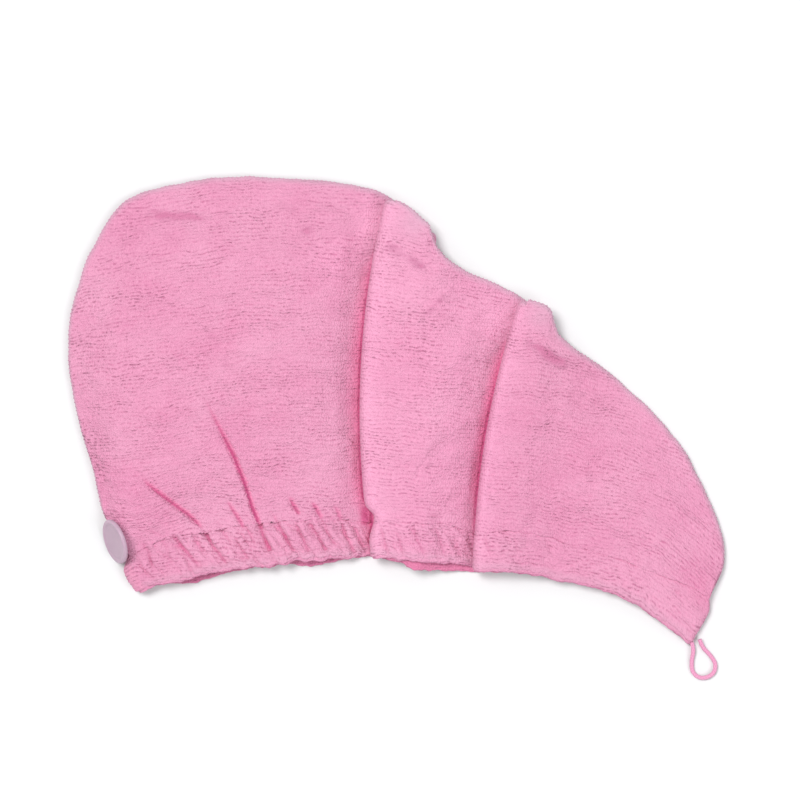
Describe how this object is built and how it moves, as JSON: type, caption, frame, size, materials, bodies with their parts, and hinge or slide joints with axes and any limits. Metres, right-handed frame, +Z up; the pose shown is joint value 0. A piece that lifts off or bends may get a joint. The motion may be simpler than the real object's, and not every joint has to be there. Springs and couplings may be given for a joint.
{
  "type": "hair turban towel",
  "caption": "Pink terry hair turban towel lying flat on its side, tail folded back in Z-shaped pleats, with a gathered elastic hem, a button at the nape and a loop at the tail's tip.",
  "frame": {"origin": "middle of the folded towel's length and depth, on the surface that it lies on", "axes": "+X along the towel from the nape to the tail, +Y towards the crown, +Z up from the surface"},
  "size_m": [0.414, 0.3189, 0.0271],
  "materials": {
    "terry": "soft pink terry with short broken ribs, fuzzy and matte",
    "terry_under": "the same terry on the side that lies down",
    "casing": "the same terry, turned double over elastic and gathered",
    "button": "smooth lilac-pink plastic, slightly translucent",
    "elastic": "round braided elastic"
  },
  "bodies": {
    "root": {"upper_panel": "terry", "under_panel": "terry_under", "hem_casing": "casing", "button": "button", "tail_loop": "elastic"}
  },
  "joints": []
}
